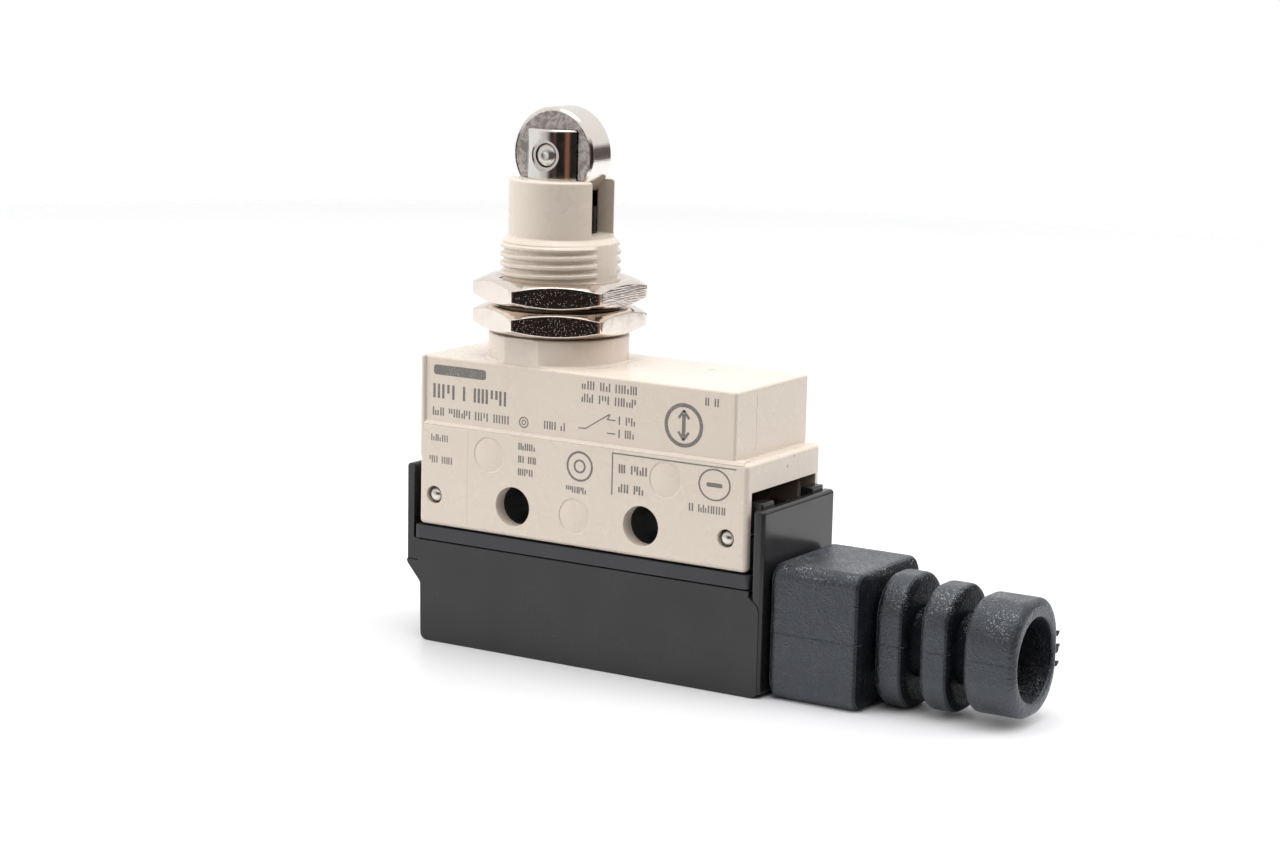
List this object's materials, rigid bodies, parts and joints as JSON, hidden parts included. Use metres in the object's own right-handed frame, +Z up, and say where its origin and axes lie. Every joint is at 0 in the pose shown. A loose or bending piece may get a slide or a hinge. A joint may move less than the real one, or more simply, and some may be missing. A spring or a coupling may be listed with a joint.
{
  "type": "limit switch",
  "caption": "Limit switch with a slotted neck, sprung cross-roller plunger and hexagon panel nuts, ivory case, black terminal cover and rubber cable boot.",
  "frame": {"origin": "on the flat bottom face of the terminal cover, directly below the plunger axis, midway between the two side faces", "axes": "+Z up along the plunger towards the roller, +X along the body towards the cable boot, -Y out of the printed front side"},
  "size_m": [0.0729, 0.0192, 0.0595],
  "materials": {
    "ivory_plastic": "moulded warm ivory plastic, slight sheen",
    "black_plastic": "moulded black plastic",
    "black_gloss": "glossy moulded black plastic",
    "gasket_rubber": "soft black sealing rubber",
    "boot_rubber": "matte moulded rubber with fine speckle",
    "nickel_plate": "nickel plated steel, warm reflections",
    "polished_steel": "polished stainless steel",
    "turned_steel": "turned steel with fine concentric marks",
    "brass": "bare brass",
    "spring_steel": "drawn spring wire",
    "nylon": "natural nylon",
    "phenolic": "dark phenolic moulding",
    "spring_bronze": "rolled spring bronze",
    "silver_contact": "silver alloy contact"
  },
  "bodies": {
    "body": {"case": "ivory_plastic", "terminal_base": "black_plastic", "plunger_seal": "gasket_rubber", "guide_bush": "brass", "return_spring": "spring_steel", "spring_seat": "nylon", "switch_case": "phenolic", "switch_base": "phenolic", "nc_contact": "silver_contact", "no_contact": "silver_contact", "nc_terminal": "brass", "no_terminal": "brass", "com_terminal": "brass", "nc_washer": "nickel_plate", "no_washer": "nickel_plate", "com_washer": "nickel_plate", "left_rivet": "polished_steel", "right_rivet": "polished_steel"},
    "cover": {"terminal_cover": "black_gloss", "cover_gasket": "gasket_rubber", "cable_boot": "boot_rubber"},
    "plunger_body": {"plunger": "polished_steel", "roller_pin": "polished_steel", "overtravel_spring": "spring_steel"},
    "roller_body": {"roller": "turned_steel"},
    "push_rod_body": {"push_rod": "turned_steel"},
    "button_body": {"switch_button": "nylon"},
    "blade_body": {"moving_blade": "spring_bronze", "moving_contact": "silver_contact"},
    "lower_nut_body": {"lower_nut": "nickel_plate"},
    "upper_nut_body": {"upper_nut": "nickel_plate"},
    "nc_screw_body": {"nc_screw": "nickel_plate"},
    "no_screw_body": {"no_screw": "nickel_plate"},
    "com_screw_body": {"com_screw": "nickel_plate"}
  },
  "joints": [
    {"name": "plunger_slide", "type": "slide", "parent": "body", "child": "plunger_body", "axis": [0, 0, -1], "range_m": [0, 0.0032], "stiffness_N_per_m": 700, "springref_m": -0.008, "deforming": ["return_spring"]},
    {"name": "roller_spin", "type": "hinge", "parent": "plunger_body", "child": "roller_body", "pos_m": [0, 0, 0.05442], "axis": [0, 1, 0], "continuous": true},
    {"name": "push_rod_slide", "type": "slide", "parent": "plunger_body", "child": "push_rod_body", "axis": [0, 0, 1], "range_m": [0, 0.0021], "deforming": ["overtravel_spring"]},
    {"name": "button_slide", "type": "slide", "parent": "body", "child": "button_body", "axis": [0, 0, -1], "range_m": [0, 0.0011]},
    {"name": "blade_pivot", "type": "hinge", "parent": "body", "child": "blade_body", "pos_m": [0.0125, 0, 0.0253], "axis": [0, -1, 0], "range_deg": [0, 5.05]},
    {"name": "lower_nut_turn", "type": "hinge", "parent": "body", "child": "lower_nut_body", "pos_m": [0, 0, 0.0366], "axis": [0, 0, 1], "continuous": true},
    {"name": "upper_nut_turn", "type": "hinge", "parent": "body", "child": "upper_nut_body", "pos_m": [0, 0, 0.03965], "axis": [0, 0, 1], "continuous": true},
    {"name": "nc_screw_turn", "type": "hinge", "parent": "body", "child": "nc_screw_body", "pos_m": [-0.0049, 0, 0.0065], "axis": [0, 0, -1], "continuous": true},
    {"name": "no_screw_turn", "type": "hinge", "parent": "body", "child": "no_screw_body", "pos_m": [0.0076, 0, 0.0065], "axis": [0, 0, -1], "continuous": true},
    {"name": "com_screw_turn", "type": "hinge", "parent": "body", "child": "com_screw_body", "pos_m": [0.0224, 0, 0.0065], "axis": [0, 0, -1], "continuous": true},
    {"name": "cover_slide", "type": "slide", "parent": "body", "child": "cover", "axis": [0, 0, -1], "range_m": [0, 0.022]}
  ],
  "couplings": [
    {"joint": "push_rod_slide", "follows": "plunger_slide", "ratio": 0.65625},
    {"joint": "button_slide", "follows": "plunger_slide", "ratio": 0.34375},
    {"joint": "blade_pivot", "follows": "plunger_slide", "rad_per_m": 27.5}
  ]
}
